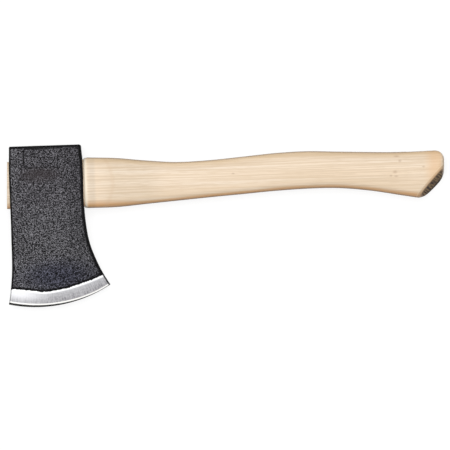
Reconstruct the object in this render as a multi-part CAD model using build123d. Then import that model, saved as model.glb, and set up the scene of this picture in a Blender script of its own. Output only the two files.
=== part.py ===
from build123d import *

import math
import os

# A hatchet lying on its side: a forged steel head on a curved wooden handle. The handle's tongue
# fills the head's eye, and a wooden wedge with two barbed steel wedges across it hold it there.
#
# While it is built, the origin is the middle of the eye, +X runs along the eye towards the grip,
# +Y points to the poll and +Z is across the thickness. At the end everything moves so that the
# origin is the middle of the underside. Lengths are in millimetres and angles in degrees.

# Head, seen from the side
POLL_Y = 31.5
RIGHT_X = 30.2
LEFT_X = -29.8
POLL_RIGHT_X = 29.2
POLL_LEFT_X = -29.3
POLL_CHAMFER = 1.6
EYE_TOP_Y = 16.0
EYE_TOP_DIRECTION = (0.12, -1.0)
LEFT_FLARE_Y = -40.0
LEFT_FLARE = [(-30.7, -76.0)]
HEEL_X = -33.6
HEEL_DIRECTION = (0.20, 1.0)
RIGHT_FLARE_Y = -17.0
RIGHT_FLARE = [(30.9, -30.0), (34.3, -50.6), (38.0, -61.0), (42.3, -70.6)]
TOE_X = 49.5
TOE_DIRECTION = (0.55, -0.84)

# Cutting edge: an arc about a centre near the eye, with a ground bevel and a narrow honed one
EDGE_CENTER = (-8.5, 10.4)
EDGE_RADIUS = 110.0
GRIND_WIDTH = 12.0
GRIND_HALF = 2.2
HONE_WIDTH = 1.5
HONE_HALF = 0.5
EDGE_HALF = 0.15

# Head, across its thickness: flat cheeks, then a hollow taper given as share of its length and half
CHEEK_HALF = 11.6
TAPER_START_Y = -22.0
TAPER = [(0.25, 8.6), (0.5, 5.3), (0.75, 3.3)]
TAPER_END_DIRECTION = (-1.0, -0.02)
BLADE_SECTIONS_X = [-38.0, -22.0, -6.5, 10.0, 25.0, 40.0, 54.0]
SIDE_ROUND = 1.6

# Bare panel pressed into the upper cheek
PANEL_LEFT_X = -17.4
PANEL_RIGHT_X = 16.1
PANEL_BOTTOM_Y = 13.8
PANEL_TOP_Y = 28.9
PANEL_DEPTH = 0.45
PANEL_ROUND = 3.0

# Eye, as height and thickness, wide at both mouths, and the tongue that fills it
FAR_MOUTH = (38.2, 16.2)
EYE_MIDDLE = (36.8, 14.6)
NEAR_MOUTH = (38.6, 16.4)
EYE_FULLNESS = (0.86, 0.70)
STUB_END_X = -31.8
STUB_END_SLANT = 2.0
STUB_SPARE = 1.0
SHOULDER_X = 30.9

# Wooden wedge in its kerf
WEDGE_HALF = 2.9
WEDGE_TIP_HALF = 0.5
WEDGE_TIP_X = 6.0
KERF_END_X = 14.0

# Steel wedges across it: height in the eye and turn about the eye's axis
STEEL_WEDGES = {"steel_wedge_upper": (9.0, 14.0), "steel_wedge_lower": (-9.0, -9.0)}
STEEL_WIDTH = 12.7
STEEL_LENGTH = 19.0
STEEL_HALF = 1.5
STEEL_TIP_HALF = 0.4
BARBS = 3
BARB_STEP = 0.25

# Handle outside the eye: place along X, top, bottom, half the thickness, fullness of the section
STATIONS = [
    (35.0, 20.7, -20.5, 11.5, (0.86, 0.72)),
    (57.0, 19.5, -20.5, 11.3, (0.84, 0.70)),
    (80.0, 16.9, -18.8, 10.8, (0.82, 0.66)),
    (105.0, 14.7, -17.0, 10.4, (0.80, 0.63)),
    (132.0, 15.2, -15.1, 10.3, (0.80, 0.62)),
    (160.0, 17.2, -13.3, 10.5, (0.80, 0.62)),
    (188.0, 19.3, -11.5, 10.8, (0.80, 0.62)),
    (212.0, 19.9, -10.7, 11.0, (0.80, 0.62)),
    (236.0, 18.8, -11.0, 11.1, (0.80, 0.62)),
    (262.0, 17.6, -13.8, 11.3, (0.80, 0.63)),
    (288.0, 16.8, -18.5, 11.5, (0.79, 0.64)),
    (312.0, 17.5, -22.9, 11.5, (0.76, 0.62)),
    (338.0, 19.3, -27.4, 11.5, (0.74, 0.60)),
]

# Sanded flat beside the eye, which ends in an arc towards the grip
FLAT_HALF = 11.0
FLAT_END_X = 54.0
FLAT_END_RADIUS = 34.0

# Butt: a nose that is rounded every way above, and a slanting saw cut that leans below
NOSE_START_X = 290.0
NOSE_X = 323.6
NOSE_TOP_Y = 17.5
NOSE_HALF = 11.9
NOSE_RADIUS = 8.0
NOSE_ROUND = 6.0
CUT_POINT = (314.2, -10.6)
CUT_SLANT = -43.3
CUT_LEAN = 16.7
CUT_CHAMFER = 1.2

# Half the side of a block that is larger than what it cuts
LARGE = 80.0


def edge_y(x, radius):
    """Height of the lower side of a circle about the cutting edge's centre."""
    return EDGE_CENTER[1] - math.sqrt(radius**2 - (x - EDGE_CENTER[0]) ** 2)


def head_outline():
    """The head seen from the side, with the cutting edge as one arc."""
    poll_left = (POLL_LEFT_X, POLL_Y)
    poll_right = (POLL_RIGHT_X - POLL_CHAMFER, POLL_Y)
    right_top = (POLL_RIGHT_X, POLL_Y - POLL_CHAMFER)
    right_eye = (RIGHT_X, EYE_TOP_Y)
    right_flare = (RIGHT_X, RIGHT_FLARE_Y)
    toe = (TOE_X, edge_y(TOE_X, EDGE_RADIUS))
    lowest = (EDGE_CENTER[0], EDGE_CENTER[1] - EDGE_RADIUS)
    heel = (HEEL_X, edge_y(HEEL_X, EDGE_RADIUS))
    left_flare = (LEFT_X, LEFT_FLARE_Y)
    left_eye = (LEFT_X, EYE_TOP_Y)
    return make_face(
        [
            Line(poll_left, poll_right),
            Line(poll_right, right_top),
            Spline(right_top, right_eye, tangents=[EYE_TOP_DIRECTION, (0, -1)]),
            Line(right_eye, right_flare),
            Spline(right_flare, *RIGHT_FLARE, toe, tangents=[(0, -1), TOE_DIRECTION]),
            ThreePointArc(toe, lowest, heel),
            Spline(heel, *LEFT_FLARE, left_flare, tangents=[HEEL_DIRECTION, (0, 1)]),
            Line(left_flare, left_eye),
            Spline(left_eye, poll_left, tangents=[(0, 1), (0, 1)]),
        ]
    )


def blade_section(x):
    """The blade across its thickness: it leaves the cheeks smoothly and thins towards the edge."""
    grind_y = edge_y(x, EDGE_RADIUS - GRIND_WIDTH)
    past_edge_y = edge_y(x, EDGE_RADIUS + 2 * HONE_WIDTH)
    length = TAPER_START_Y - grind_y
    points = [(TAPER_START_Y, CHEEK_HALF)]
    points += [(TAPER_START_Y - share * length, half) for share, half in TAPER]
    points += [(grind_y, GRIND_HALF), (past_edge_y, 0.8 * GRIND_HALF)]
    upper = Spline(*points, tangents=[(-1, 0), TAPER_END_DIRECTION])
    lower = mirror(upper, about=Plane.XZ)
    ends = [Line(lower @ 0, upper @ 0), Line(upper @ 1, lower @ 1)]
    return Plane.YZ.offset(x) * make_face([upper, lower, *ends])


def side_edges(body):
    """The edges between the cheeks and the head's sides and poll, but not the upright ones."""
    chosen = []
    for edge in body.edges():
        middle = edge @ 0.5
        upright = edge.geom_type == GeomType.LINE and edge.tangent_at(0.5).Z ** 2 > 0.5
        cutting = math.dist((middle.X, middle.Y), EDGE_CENTER) > EDGE_RADIUS - 1
        outer = abs(middle.X) > RIGHT_X - 2 or middle.Y > POLL_Y - 2
        if outer and not upright and not cutting:
            chosen.append(edge)
    return chosen


def grind_cutter():
    """What is ground off the upper side of the edge: a ring turned about the edge's centre."""
    grind_start = EDGE_RADIUS - GRIND_WIDTH
    hone_start = EDGE_RADIUS - HONE_WIDTH
    grind_slope = (GRIND_HALF - HONE_HALF) / (hone_start - grind_start)
    hone_slope = (HONE_HALF - EDGE_HALF) / HONE_WIDTH
    inner = grind_start - GRIND_WIDTH
    outer = EDGE_RADIUS + 2 * HONE_WIDTH
    profile = Polyline(
        (inner, GRIND_HALF + GRIND_WIDTH * grind_slope),
        (hone_start, HONE_HALF),
        (outer, EDGE_HALF - (outer - EDGE_RADIUS) * hone_slope),
        (outer, LARGE),
        (inner, LARGE),
        close=True,
    )
    ring = revolve(Plane.XZ * make_face(profile), Axis.Z)
    return Pos(EDGE_CENTER[0], EDGE_CENTER[1], 0) * ring


def panel_cutter():
    """The bare panel in the upper cheek, rounded at its grip side."""
    middle_x = (PANEL_LEFT_X + PANEL_RIGHT_X) / 2
    middle_y = (PANEL_BOTTOM_Y + PANEL_TOP_Y) / 2
    outline = Rectangle(PANEL_RIGHT_X - PANEL_LEFT_X, PANEL_TOP_Y - PANEL_BOTTOM_Y)
    outline = fillet(outline.vertices().sort_by(Axis.X)[2:], PANEL_ROUND)
    return Pos(middle_x, middle_y, CHEEK_HALF - PANEL_DEPTH) * extrude(outline, 2 * PANEL_DEPTH)


def head():
    """The forged head: flat cheeks, tapered blade, rounded sides, ground edge and open eye."""
    prism = extrude(head_outline(), CHEEK_HALF, both=True)
    above_blade = Pos(0, TAPER_START_Y + LARGE, 0) * Box(2 * LARGE, 2 * LARGE, 2 * LARGE)
    blade = loft([blade_section(x) for x in BLADE_SECTIONS_X])
    body = (prism & above_blade) + (prism & blade)
    body = fillet(side_edges(body), SIDE_ROUND)
    body -= grind_cutter()
    body -= mirror(grind_cutter(), about=Plane.XY)
    body -= tongue()
    return body - panel_cutter()


def oval(x, top, bottom, half, fullness):
    """A rounded outline square to X, made of four cubic quarter curves."""
    middle = (top + bottom) / 2
    reach = (top - bottom) / 2
    along, across = fullness
    quarters = []
    for side_y, side_z in ((1, 1), (-1, 1), (-1, -1), (1, -1)):
        edge_point = (middle + side_y * reach, 0)
        edge_control = (middle + side_y * reach, side_z * across * half)
        face_control = (middle + side_y * along * reach, side_z * half)
        face_point = (middle, side_z * half)
        quarters.append(Bezier(edge_point, edge_control, face_control, face_point))
    return Plane.YZ.offset(x) * make_face(quarters)


def eye_oval(x, size):
    """The eye's outline at one place, from its height and thickness."""
    height, thickness = size
    return oval(x, height / 2, -height / 2, thickness / 2, EYE_FULLNESS)


def sawn_off(part):
    """The part up to the saw cut at the tongue's end, which isn't quite square."""
    slant = math.radians(STUB_END_SLANT)
    outward = (-math.cos(slant), math.sin(slant), 0)
    return split(part, bisect_by=Plane(origin=(STUB_END_X, 0, 0), z_dir=outward), keep=Keep.BOTTOM)


def tongue():
    """What fills the eye: two tapers meeting in its middle, with a straight stretch at each mouth."""
    places = [
        (STUB_END_X - STUB_SPARE, FAR_MOUTH),
        (LEFT_X, FAR_MOUTH),
        (0, EYE_MIDDLE),
        (RIGHT_X, NEAR_MOUTH),
        (SHOULDER_X, NEAR_MOUTH),
    ]
    return sawn_off(loft([eye_oval(x, size) for x, size in places], ruled=True))


def wedge_slab():
    """The wooden wedge before its ends are trimmed, thick at the handle's end."""
    profile = Polyline(
        (STUB_END_X - STUB_SPARE, -WEDGE_HALF),
        (STUB_END_X - STUB_SPARE, WEDGE_HALF),
        (WEDGE_TIP_X, WEDGE_TIP_HALF),
        (WEDGE_TIP_X, -WEDGE_TIP_HALF),
        close=True,
    )
    return extrude(Plane.XZ * make_face(profile), LARGE, both=True)


def empty_kerf():
    """The saw kerf past the wedge's tip."""
    length = KERF_END_X - WEDGE_TIP_X
    return Pos(WEDGE_TIP_X + length / 2, 0, 0) * Box(length, LARGE, 2 * WEDGE_TIP_HALF)


def steel_wedge(y, turn):
    """A steel wedge with steps down both faces, driven in flush with the handle's end."""
    pitch = STEEL_LENGTH / BARBS
    narrowing = (STEEL_HALF - STEEL_TIP_HALF) / BARBS
    upper = []
    for barb in range(BARBS):
        start = STEEL_HALF - barb * narrowing
        end = start - narrowing
        if barb < BARBS - 1:
            end -= BARB_STEP
        upper.append((STUB_END_X + barb * pitch, start))
        upper.append((STUB_END_X + (barb + 1) * pitch, end))
    upper[0] = (STUB_END_X - STUB_SPARE, STEEL_HALF)
    lower = [(x, -half) for x, half in reversed(upper)]
    profile = make_face(Polyline(*upper, *lower, close=True))
    blank = extrude(profile, STEEL_WIDTH / 2, both=True)
    return sawn_off(Pos(0, y, 0) * Rot(turn, 0, 0) * blank)


def without_steel(part):
    """The part with the places of the steel wedges cut out."""
    for place in STEEL_WEDGES.values():
        part -= steel_wedge(*place)
    return part


def wooden_wedge():
    """The wooden wedge, flush with the tongue and split by the steel wedges."""
    return without_steel(tongue() & wedge_slab())


def flat_cutter():
    """What the sander takes off the upper side of the handle beside the eye."""
    disc = Pos(FLAT_END_X - FLAT_END_RADIUS, 0, FLAT_HALF) * Circle(FLAT_END_RADIUS)
    return extrude(disc, LARGE)


def nose_cutter():
    """What is taken off round the butt, to leave a nose that is rounded every way."""
    length = NOSE_X - NOSE_START_X + LARGE
    height = NOSE_TOP_Y + LARGE
    outline = Pos(NOSE_X - length / 2, NOSE_TOP_Y - height / 2) * Rectangle(length, height)
    corner = outline.vertices().sort_by(Axis.X)[2:].sort_by(Axis.Y)[-1]
    room = extrude(fillet(corner, NOSE_RADIUS), NOSE_HALF, both=True)
    rims = []
    for edge in room.edges():
        middle = edge @ 0.5
        level = abs(middle.Z) > NOSE_HALF - 0.1
        if level and middle.Y > 1 - LARGE and middle.X > NOSE_X - length + 1:
            rims.append(edge)
    around = Pos(NOSE_START_X + LARGE, 0, 0) * Box(2 * LARGE, 2 * LARGE, 2 * LARGE)
    return around - fillet(rims, NOSE_ROUND)


def cut_plane():
    """The slanting saw cut across the butt, facing outwards and leaning to the upper side."""
    slant = math.radians(CUT_SLANT)
    lean = math.radians(CUT_LEAN)
    outward = (math.cos(slant), math.sin(slant), math.tan(lean))
    return Plane(origin=(CUT_POINT[0], CUT_POINT[1], 0), z_dir=outward)


def handle():
    """The curved grip with its butt, the shoulder against the head and the kerfed tongue."""
    body = loft([oval(*station) for station in STATIONS])
    body += loft([eye_oval(SHOULDER_X, NEAR_MOUTH), oval(*STATIONS[0])], ruled=True)
    body -= flat_cutter()
    body -= mirror(flat_cutter(), about=Plane.XY)
    body -= nose_cutter()
    plane = cut_plane()
    body = split(body, bisect_by=plane, keep=Keep.BOTTOM)
    sawn_face = min(body.faces(), key=lambda face: abs(plane.to_local_coords(face.center()).Z))
    body = chamfer(sawn_face.edges(), CUT_CHAMFER)
    return body + without_steel(tongue() - wedge_slab() - empty_kerf())


def to_underside(parts):
    """The move that puts the origin in the middle of the underside of all the parts."""
    boxes = [part.bounding_box() for part in parts]
    low = [min(tuple(box.min)[axis] for box in boxes) for axis in range(3)]
    high = [max(tuple(box.max)[axis] for box in boxes) for axis in range(3)]
    return Pos(-(low[0] + high[0]) / 2, -(low[1] + high[1]) / 2, -low[2])


def main():
    parts = {"head": head(), "handle": handle(), "wooden_wedge": wooden_wedge()}
    for name, place in STEEL_WEDGES.items():
        parts[name] = steel_wedge(*place)
    move = to_underside(parts.values())
    os.makedirs("parts", exist_ok=True)
    for name, part in parts.items():
        export_step(move * part, f"parts/{name}.step")
    print("the middle of the eye is at", move.position)


main()
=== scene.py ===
import math

import bpy
import numpy as np
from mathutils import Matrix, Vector, noise


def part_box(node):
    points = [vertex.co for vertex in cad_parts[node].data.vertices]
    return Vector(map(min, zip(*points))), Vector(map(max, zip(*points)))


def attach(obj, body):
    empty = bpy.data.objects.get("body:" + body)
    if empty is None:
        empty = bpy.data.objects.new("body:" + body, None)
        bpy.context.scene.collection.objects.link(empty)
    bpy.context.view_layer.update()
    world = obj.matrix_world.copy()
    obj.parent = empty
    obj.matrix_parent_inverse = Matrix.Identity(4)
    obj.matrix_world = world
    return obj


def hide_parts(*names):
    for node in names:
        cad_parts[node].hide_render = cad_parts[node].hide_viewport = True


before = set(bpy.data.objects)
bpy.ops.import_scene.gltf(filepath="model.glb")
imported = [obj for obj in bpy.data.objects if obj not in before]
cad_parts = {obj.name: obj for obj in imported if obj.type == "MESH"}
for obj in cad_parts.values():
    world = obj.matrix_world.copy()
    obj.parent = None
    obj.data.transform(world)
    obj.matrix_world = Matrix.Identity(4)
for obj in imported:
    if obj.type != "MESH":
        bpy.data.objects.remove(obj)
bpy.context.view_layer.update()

# A hatchet lying on its side on a white floor, seen from straight above.
#
# Shapes are worked out in millimetres from the middle of the head's eye: x runs along the eye
# towards the grip, y points to the poll and z is across the thickness.
MM = 0.001

# Faces that meet at more than this angle keep a crease
CREASE = math.radians(40.0)

# Head, seen from the side: the poll's height, (x, y) of the edge's two ends and (y, x) of each side
POLL_Y = 31.5
TOE = (49.5, -83.2)
HEEL = (-33.6, -96.7)
LEFT_SIDE = [(HEEL[1], HEEL[0]), (-76.0, -30.7), (-40.0, -29.8), (16.0, -29.8), (POLL_Y, -29.3)]
RIGHT_SIDE = [
    (TOE[1], TOE[0]), (-70.6, 42.3), (-61.0, 38.0), (-50.6, 34.3), (-30.0, 30.9), (-17.0, 30.2),
    (16.0, 30.2), (POLL_Y, 29.2)
]
TOE_SLOPE = -0.655
HEEL_SLOPE = 0.20

# Cutting edge: an arc, with a ground bevel of (x, width) and a narrow honed one. The paint's curve
# of the bevel's width runs up to GRIND_CURVE_TOP.
EDGE_CENTER = (-8.5, 10.4)
EDGE_RADIUS = 110.0
GRIND_WIDTHS = [
    (-36.0, 10.0), (-29.0, 12.9), (-18.0, 13.5), (-4.0, 12.1), (14.0, 12.1), (32.0, 11.3), (50.0, 8.7)
]
GRIND_MIDDLE = 12.1
GRIND_CURVE_TOP = 20.0
HONE_WIDTH = 1.5
HONE_HALF = 0.5
EDGE_HALF = 0.15

# Head, across its thickness: (share of the taper, half the thickness)
CHEEK_HALF = 11.6
TAPER_START_Y = -22.0
TAPER = [(0.0, CHEEK_HALF), (0.25, 8.6), (0.5, 5.3), (0.75, 3.3), (1.0, 2.2)]
TAPER_END_SLOPE = -3.2

# Rounding of the head's rims, and its mesh
POLL_ROUND = 1.6
LEFT_ROUND = 1.0
RIGHT_ROUND = 1.9
CHEEK_ROUND = 1.6
MARGIN_CELLS = 3
CHEEK_CELLS = 120
SIDE_CELLS = 22
CELL = 0.62

# Forged surface: how deep its waves and its coating's grains are. A point is on the poll within
# POLL_SKIN of it, else on a cheek past CHEEK_SHARE of the thickness, else on a side past SIDE_X.
FORGED_DEPTH = 0.10
COATING_DEPTH = 0.13
SIDE_X = 28.3
CHEEK_SHARE = 0.93
POLL_SKIN = 0.4

# How far the painted shade on the coating reaches in from the left side, the right side and the poll
LEFT_RIM_SHADE = 2.4
RIGHT_RIM_SHADE = 3.5
POLL_RIM_SHADE = 3.1

# Bare panel pressed into the upper cheek: lowest and highest x and y
PANEL = (-17.4, 16.1, 13.8, 28.9)
PANEL_ROUND = 2.4
PANEL_DEPTH = 0.45
PANEL_FAR = 9.0

# Eye and tongue: (x, half the height, half the thickness), and the fullness of their section. The
# eye is wider by a gap, and by more at its mouths: (x, how much).
TONGUE = [(-31.8, 19.1, 8.1), (-29.0, 19.1, 8.1), (0.0, 18.4, 7.3), (30.9, 19.3, 8.2)]
EYE_FULLNESS = 3.0
EYE_GAP = 0.1
EYE_FLARES = [(-36.0, 0.5), (-29.0, 0.5), (-28.3, 0), (0, 0), (28.9, 0), (29.7, 0.3), (36.0, 0.3)]

# Tongue's sawn end, rounded and slanted up to a level x, with its rings close together up to there
# and wider apart from another, and the power that makes the shoulder swell early
STUB_ROUND = 0.7
STUB_SLANT = math.radians(2.0)
STUB_LEVEL_X = -28.0
STUB_STEP = 0.6
TONGUE_LEVEL_X = -24.0
SHOULDER_SWELL = 0.5

# Wedges in the tongue's end: half the thickness at the end and at the tip, the tip's x and half the
# width; each steel one has its own y and its turn in degrees from square to the kerf
KERF = (2.9, 0.5, 6.0, 40.0)
STEEL_WEDGE = (1.5, 0.4, -12.8, 6.35)
STEEL_WEDGES = [(9.0, 14.0), (-9.0, -9.0)]

# Grip: (x, top, bottom, half the thickness, fullness of the section)
STATIONS = [
    (35.0, 20.7, -20.5, 11.5, 3.05),
    (57.0, 19.5, -20.5, 11.3, 2.90),
    (80.0, 16.9, -18.8, 10.8, 2.77),
    (105.0, 14.7, -17.0, 10.4, 2.65),
    (132.0, 15.2, -15.1, 10.3, 2.62),
    (160.0, 17.2, -13.3, 10.5, 2.62),
    (188.0, 19.3, -11.5, 10.8, 2.62),
    (212.0, 19.9, -10.7, 11.0, 2.62),
    (236.0, 18.8, -11.0, 11.1, 2.62),
    (262.0, 17.6, -13.8, 11.3, 2.65),
    (288.0, 16.8, -18.5, 11.5, 2.68),
    (312.0, 17.5, -22.9, 11.5, 2.58),
    (338.0, 19.3, -27.4, 11.5, 2.50),
]
SANDED_DEPTH = 0.10
FIBRE_DEPTH = 0.03
SIDE_FAR = 30.0

# Rings of points: how many round each, how far apart, and how small they get in an end's middle
ROUND_CELLS = 128
RING_STEP = 1.2
CENTER_SHARE = 0.02

# Sanded flat beside the eye, which runs out in an arc towards the grip
FLAT_HALF = 11.0
FLAT_RISE = 0.6
FLAT_END_X = 54.0
FLAT_END_RADIUS = 34.0

# Butt: a nose rounded every way above, and a slanting saw cut that leans to the upper side
NOSE_X = 323.6
NOSE_START_X = 300.0
NOSE_TOP_Y = 17.5
NOSE_HALF = 11.9
NOSE_RADIUS = 8.0
NOSE_ROUND = 6.0
NOSE_BLEND = 1.5
CUT_POINT = (314.2, -10.6)
CUT_SLANT = math.radians(-43.3)
CUT_LEAN = math.radians(16.7)
CUT_UP = Vector((-math.sin(CUT_SLANT), math.cos(CUT_SLANT), 0))
CUT_RIM = 2.3
SAW_DEPTH = 0.22
STREAK_SLANT = math.radians(-27.0)

# Butt's rings: they fan out to the cut's slant, go round its rim and fill it. Their points lie on
# rays spread as on an oval of this reach and half, no longer than the limit.
FAN_PIVOT_DEPTH = 30.0
FAN_RINGS = 44
RIM_RINGS = 6
CAP_RINGS = 22
BUTT_REACH = 17.0
BUTT_HALF = 11.0
BUTT_LIMIT = 60.0

# Small dark flecks in the wood: (x, y, length, width)
FLECKS = [
    (285.1, 13.2, 3.0, 1.0), (287.6, 9.4, 1.8, 1.5), (283.4, 0.6, 2.2, 1.7), (284.2, -2.9, 2.2, 1.0),
    (280.0, -2.4, 1.6, 1.0), (306.7, 4.2, 1.8, 1.0), (152.0, 3.6, 1.8, 0.9)
]

# Camera: straight above, a little turned, with a long lens
VIEW_WIDTH = 365.8
VIEW_CENTER = (144.07, -37.9)
VIEW_TURN = math.radians(-1.9)
CAMERA_DISTANCE = 6000.0
SENSOR = 36.0

# Floor: half its width, its grey as the light sees it and as the camera does, and its own light
FLOOR_HALF = 6.0
FLOOR_LIT = 0.16
FLOOR_SEEN = 0.22
FLOOR_LIFT = 0.84

# Light: the sky's strength at the horizon and overhead, and one large soft lamp
SKY_LOW = 0.15
SKY_HIGH = 0.70
LAMP_PLACE = (-0.2, 0.35, 1.6)
LAMP_SIZE = 1.2
LAMP_POWER = 14.5

head_low, head_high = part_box("head")
EYE = Vector((head_low.x - HEEL[0] * MM, head_high.y - POLL_Y * MM, (head_low.z + head_high.z) / 2))


# Curves and meshes


def smooth(points, place, first=None, last=None):
    """A smooth curve through points of (place, value), with its end slopes where they are given."""
    places, values = np.array(points, dtype=float).T
    slopes = np.gradient(values, places)
    if first is not None:
        slopes[0] = first
    if last is not None:
        slopes[-1] = last
    index = np.clip(np.searchsorted(places, place) - 1, 0, len(places) - 2)
    span = places[index + 1] - places[index]
    t = np.clip((place - places[index]) / span, 0, 1)
    start = (1 + 2 * t) * (1 - t) ** 2 * values[index]
    end = t**2 * (3 - 2 * t) * values[index + 1]
    bend = t * (1 - t) ** 2 * slopes[index] - t**2 * (1 - t) * slopes[index + 1]
    return start + end + bend * span


def soft_step(value, low, high):
    """0 below low, 1 above high, and smooth between."""
    t = np.clip((value - low) / (high - low), 0, 1)
    return t * t * (3 - 2 * t)


def lumps(points, size, seed):
    """Smooth noise from about -1 to 1 at each point, with lumps of one size or of three."""
    scaled = points / np.array(size) + seed
    return np.array([noise.noise(Vector(point)) for point in scaled])


def link(name, data):
    """A new object of some data in the scene."""
    thing = bpy.data.objects.new(name, data)
    bpy.context.scene.collection.objects.link(thing)
    return thing


def make_piece(name, points, faces, corners, values):
    """A mesh object from points in millimetres, with a bake map and named values at its points."""
    mesh = bpy.data.meshes.new(name)
    placed = np.array(points) * MM + np.array(EYE)
    mesh.from_pydata(placed.tolist(), [], faces)
    uv_map = mesh.uv_layers.new(name="OFBake")
    uv_map.data.foreach_set("uv", np.array(corners, dtype=np.float32).ravel())
    for key, numbers in values.items():
        attribute = mesh.attributes.new(key, "FLOAT", "POINT")
        attribute.data.foreach_set("value", np.array(numbers, dtype=np.float32))
    mesh.validate()
    return link(name, mesh)


def carve(piece, cutters):
    """Cuts the cutters out of the piece and removes them."""
    for cutter in cutters:
        cut = piece.modifiers.new("cut", "BOOLEAN")
        cut.operation = "DIFFERENCE"
        cut.solver = "EXACT"
        cut.object = cutter
    finished = piece.evaluated_get(bpy.context.evaluated_depsgraph_get())
    carved = bpy.data.meshes.new_from_object(finished)
    piece.modifiers.clear()
    whole = piece.data
    piece.data = carved
    bpy.data.meshes.remove(whole)
    carved.name = piece.name
    for cutter in cutters:
        bpy.data.meshes.remove(cutter.data)


def shade(piece):
    """Smooth shading, with creases where faces meet at a sharp angle."""
    mesh = piece.data
    mesh.polygons.foreach_set("use_smooth", [True] * len(mesh.polygons))
    mesh.set_sharp_from_angle(angle=CREASE)


# Head


def edge_y(x, radius):
    """Height of the lower side of a circle about the cutting edge's centre."""
    return EDGE_CENTER[1] - np.sqrt(radius**2 - (x - EDGE_CENTER[0]) ** 2)


def edge_distance(x, y):
    """How far a place is from the cutting edge."""
    return EDGE_RADIUS - np.hypot(x - EDGE_CENTER[0], y - EDGE_CENTER[1])


def grind_radius(x):
    return EDGE_RADIUS - smooth(GRIND_WIDTHS, x)


def head_rows():
    """Each row of points from the poll to the edge: its line y(x) and half its thickness."""
    rows = []
    level_cells = round((POLL_Y - POLL_ROUND - TAPER_START_Y) / CELL)
    depths = [POLL_ROUND * cell / MARGIN_CELLS for cell in range(MARGIN_CELLS)]
    depths += list(np.linspace(POLL_ROUND, POLL_Y - TAPER_START_Y, level_cells + 1))
    for depth in depths:
        rows.append((lambda x, y=POLL_Y - depth: y + 0 * x, CHEEK_HALF))
    grind_start = EDGE_CENTER[1] - EDGE_RADIUS + GRIND_MIDDLE
    taper_cells = round((TAPER_START_Y - grind_start) / CELL)
    for cell in range(1, taper_cells + 1):
        share = cell / taper_cells
        half = smooth(TAPER, share, 0.0, TAPER_END_SLOPE)
        rows.append((lambda x, s=share: TAPER_START_Y * (1 - s) + s * edge_y(x, grind_radius(x)), half))
    hone_share = 1 - HONE_WIDTH / GRIND_MIDDLE
    grind_cells = round(GRIND_MIDDLE / CELL)
    for cell in range(1, grind_cells + 1):
        share = cell / grind_cells
        half = np.interp(share, [0, hone_share, 1], [TAPER[-1][1], HONE_HALF, EDGE_HALF])
        rows.append((lambda x, s=share: edge_y(x, grind_radius(x) * (1 - s) + s * EDGE_RADIUS), half))
    return rows


def side_x(line, points, slope):
    """Where a row's line meets a side of the head, which has this slope at the edge."""
    x = points[-1][1]
    for _ in range(40):
        x = float(smooth(points, line(x), slope, 0.0))
    return x


def spaced(low, high, low_round, high_round, cells):
    """Places from low to high: a few in the rounding at each end, and even ones between."""
    margin = np.arange(MARGIN_CELLS) / MARGIN_CELLS
    middle = np.linspace(low + low_round, high - high_round, cells + 1)
    return np.concatenate([low + margin * low_round, middle, high - (margin * high_round)[::-1]])


def rounded(distances, sizes):
    """Moves places near the rims onto rims rounded to these sizes, and says how near they were."""
    near = np.clip(1 - distances / sizes, 0, None)
    length = np.linalg.norm(near, axis=-1, keepdims=True)
    moved = sizes * (1 - near / np.maximum(length, 1e-9))
    nearness = np.sort(near, axis=-1)[..., -2]
    return np.where(near > 0, moved, distances), nearness


def outside_panel(x, y):
    """How far a place is outside the pressed panel, negative inside it."""
    left, right, bottom, top = PANEL
    out_x = np.abs(x - (left + right) / 2) - (right - left) / 2 + PANEL_ROUND
    out_y = np.abs(y - (bottom + top) / 2) - (top - bottom) / 2 + PANEL_ROUND
    corner = np.hypot(np.clip(out_x, 0, None), np.clip(out_y, 0, None))
    return corner + np.minimum(np.maximum(out_x, out_y), 0) - PANEL_ROUND


def head_grid():
    """Points by row, column and level, how near each is to a rim, and how deep each is in the painted
    rim shade.
    """
    grid = []
    nearness = []
    rim_shades = []
    for line, half in head_rows():
        left = side_x(line, LEFT_SIDE, HEEL_SLOPE)
        right = side_x(line, RIGHT_SIDE, TOE_SLOPE)
        cheek_round = min(CHEEK_ROUND, 0.8 * half)
        right_round = min(RIGHT_ROUND, 0.35 + cheek_round)
        x = spaced(left, right, LEFT_ROUND, right_round, CHEEK_CELLS)
        z = spaced(-half, half, cheek_round, cheek_round, SIDE_CELLS)
        x, z = np.meshgrid(x, z, indexing="ij")
        from_left = x - left < (right - left) / 2
        side = np.where(from_left, x - left, right - x)
        depth = POLL_Y - line(x)
        distances = np.stack([side, depth, half - np.abs(z)], axis=-1)
        side_round = np.where(from_left, LEFT_ROUND, right_round)
        sizes = np.stack([side_round, 0 * x + POLL_ROUND, 0 * x + cheek_round], axis=-1)
        moved, near = rounded(distances, sizes)
        x = np.where(from_left, left + moved[..., 0], right - moved[..., 0])
        y = line(x) + depth - moved[..., 1]
        z = np.sign(z) * (half - moved[..., 2])
        grid.append(np.stack([x, y, z], axis=-1))
        nearness.append(near)
        # Painted shade: the coating darkens towards the sides and the poll, where the rims turn away
        # from the light
        side_rim_shade = 1 - moved[..., 0] / np.where(from_left, LEFT_RIM_SHADE, RIGHT_RIM_SHADE)
        margin = np.clip(np.maximum(side_rim_shade, 1 - moved[..., 1] / POLL_RIM_SHADE), 0, 1)
        rim_shades.append(margin * soft_step(np.abs(z), half - 3.0, half - 1.2))
    return np.array(grid), np.array(nearness), np.array(rim_shades)


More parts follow.
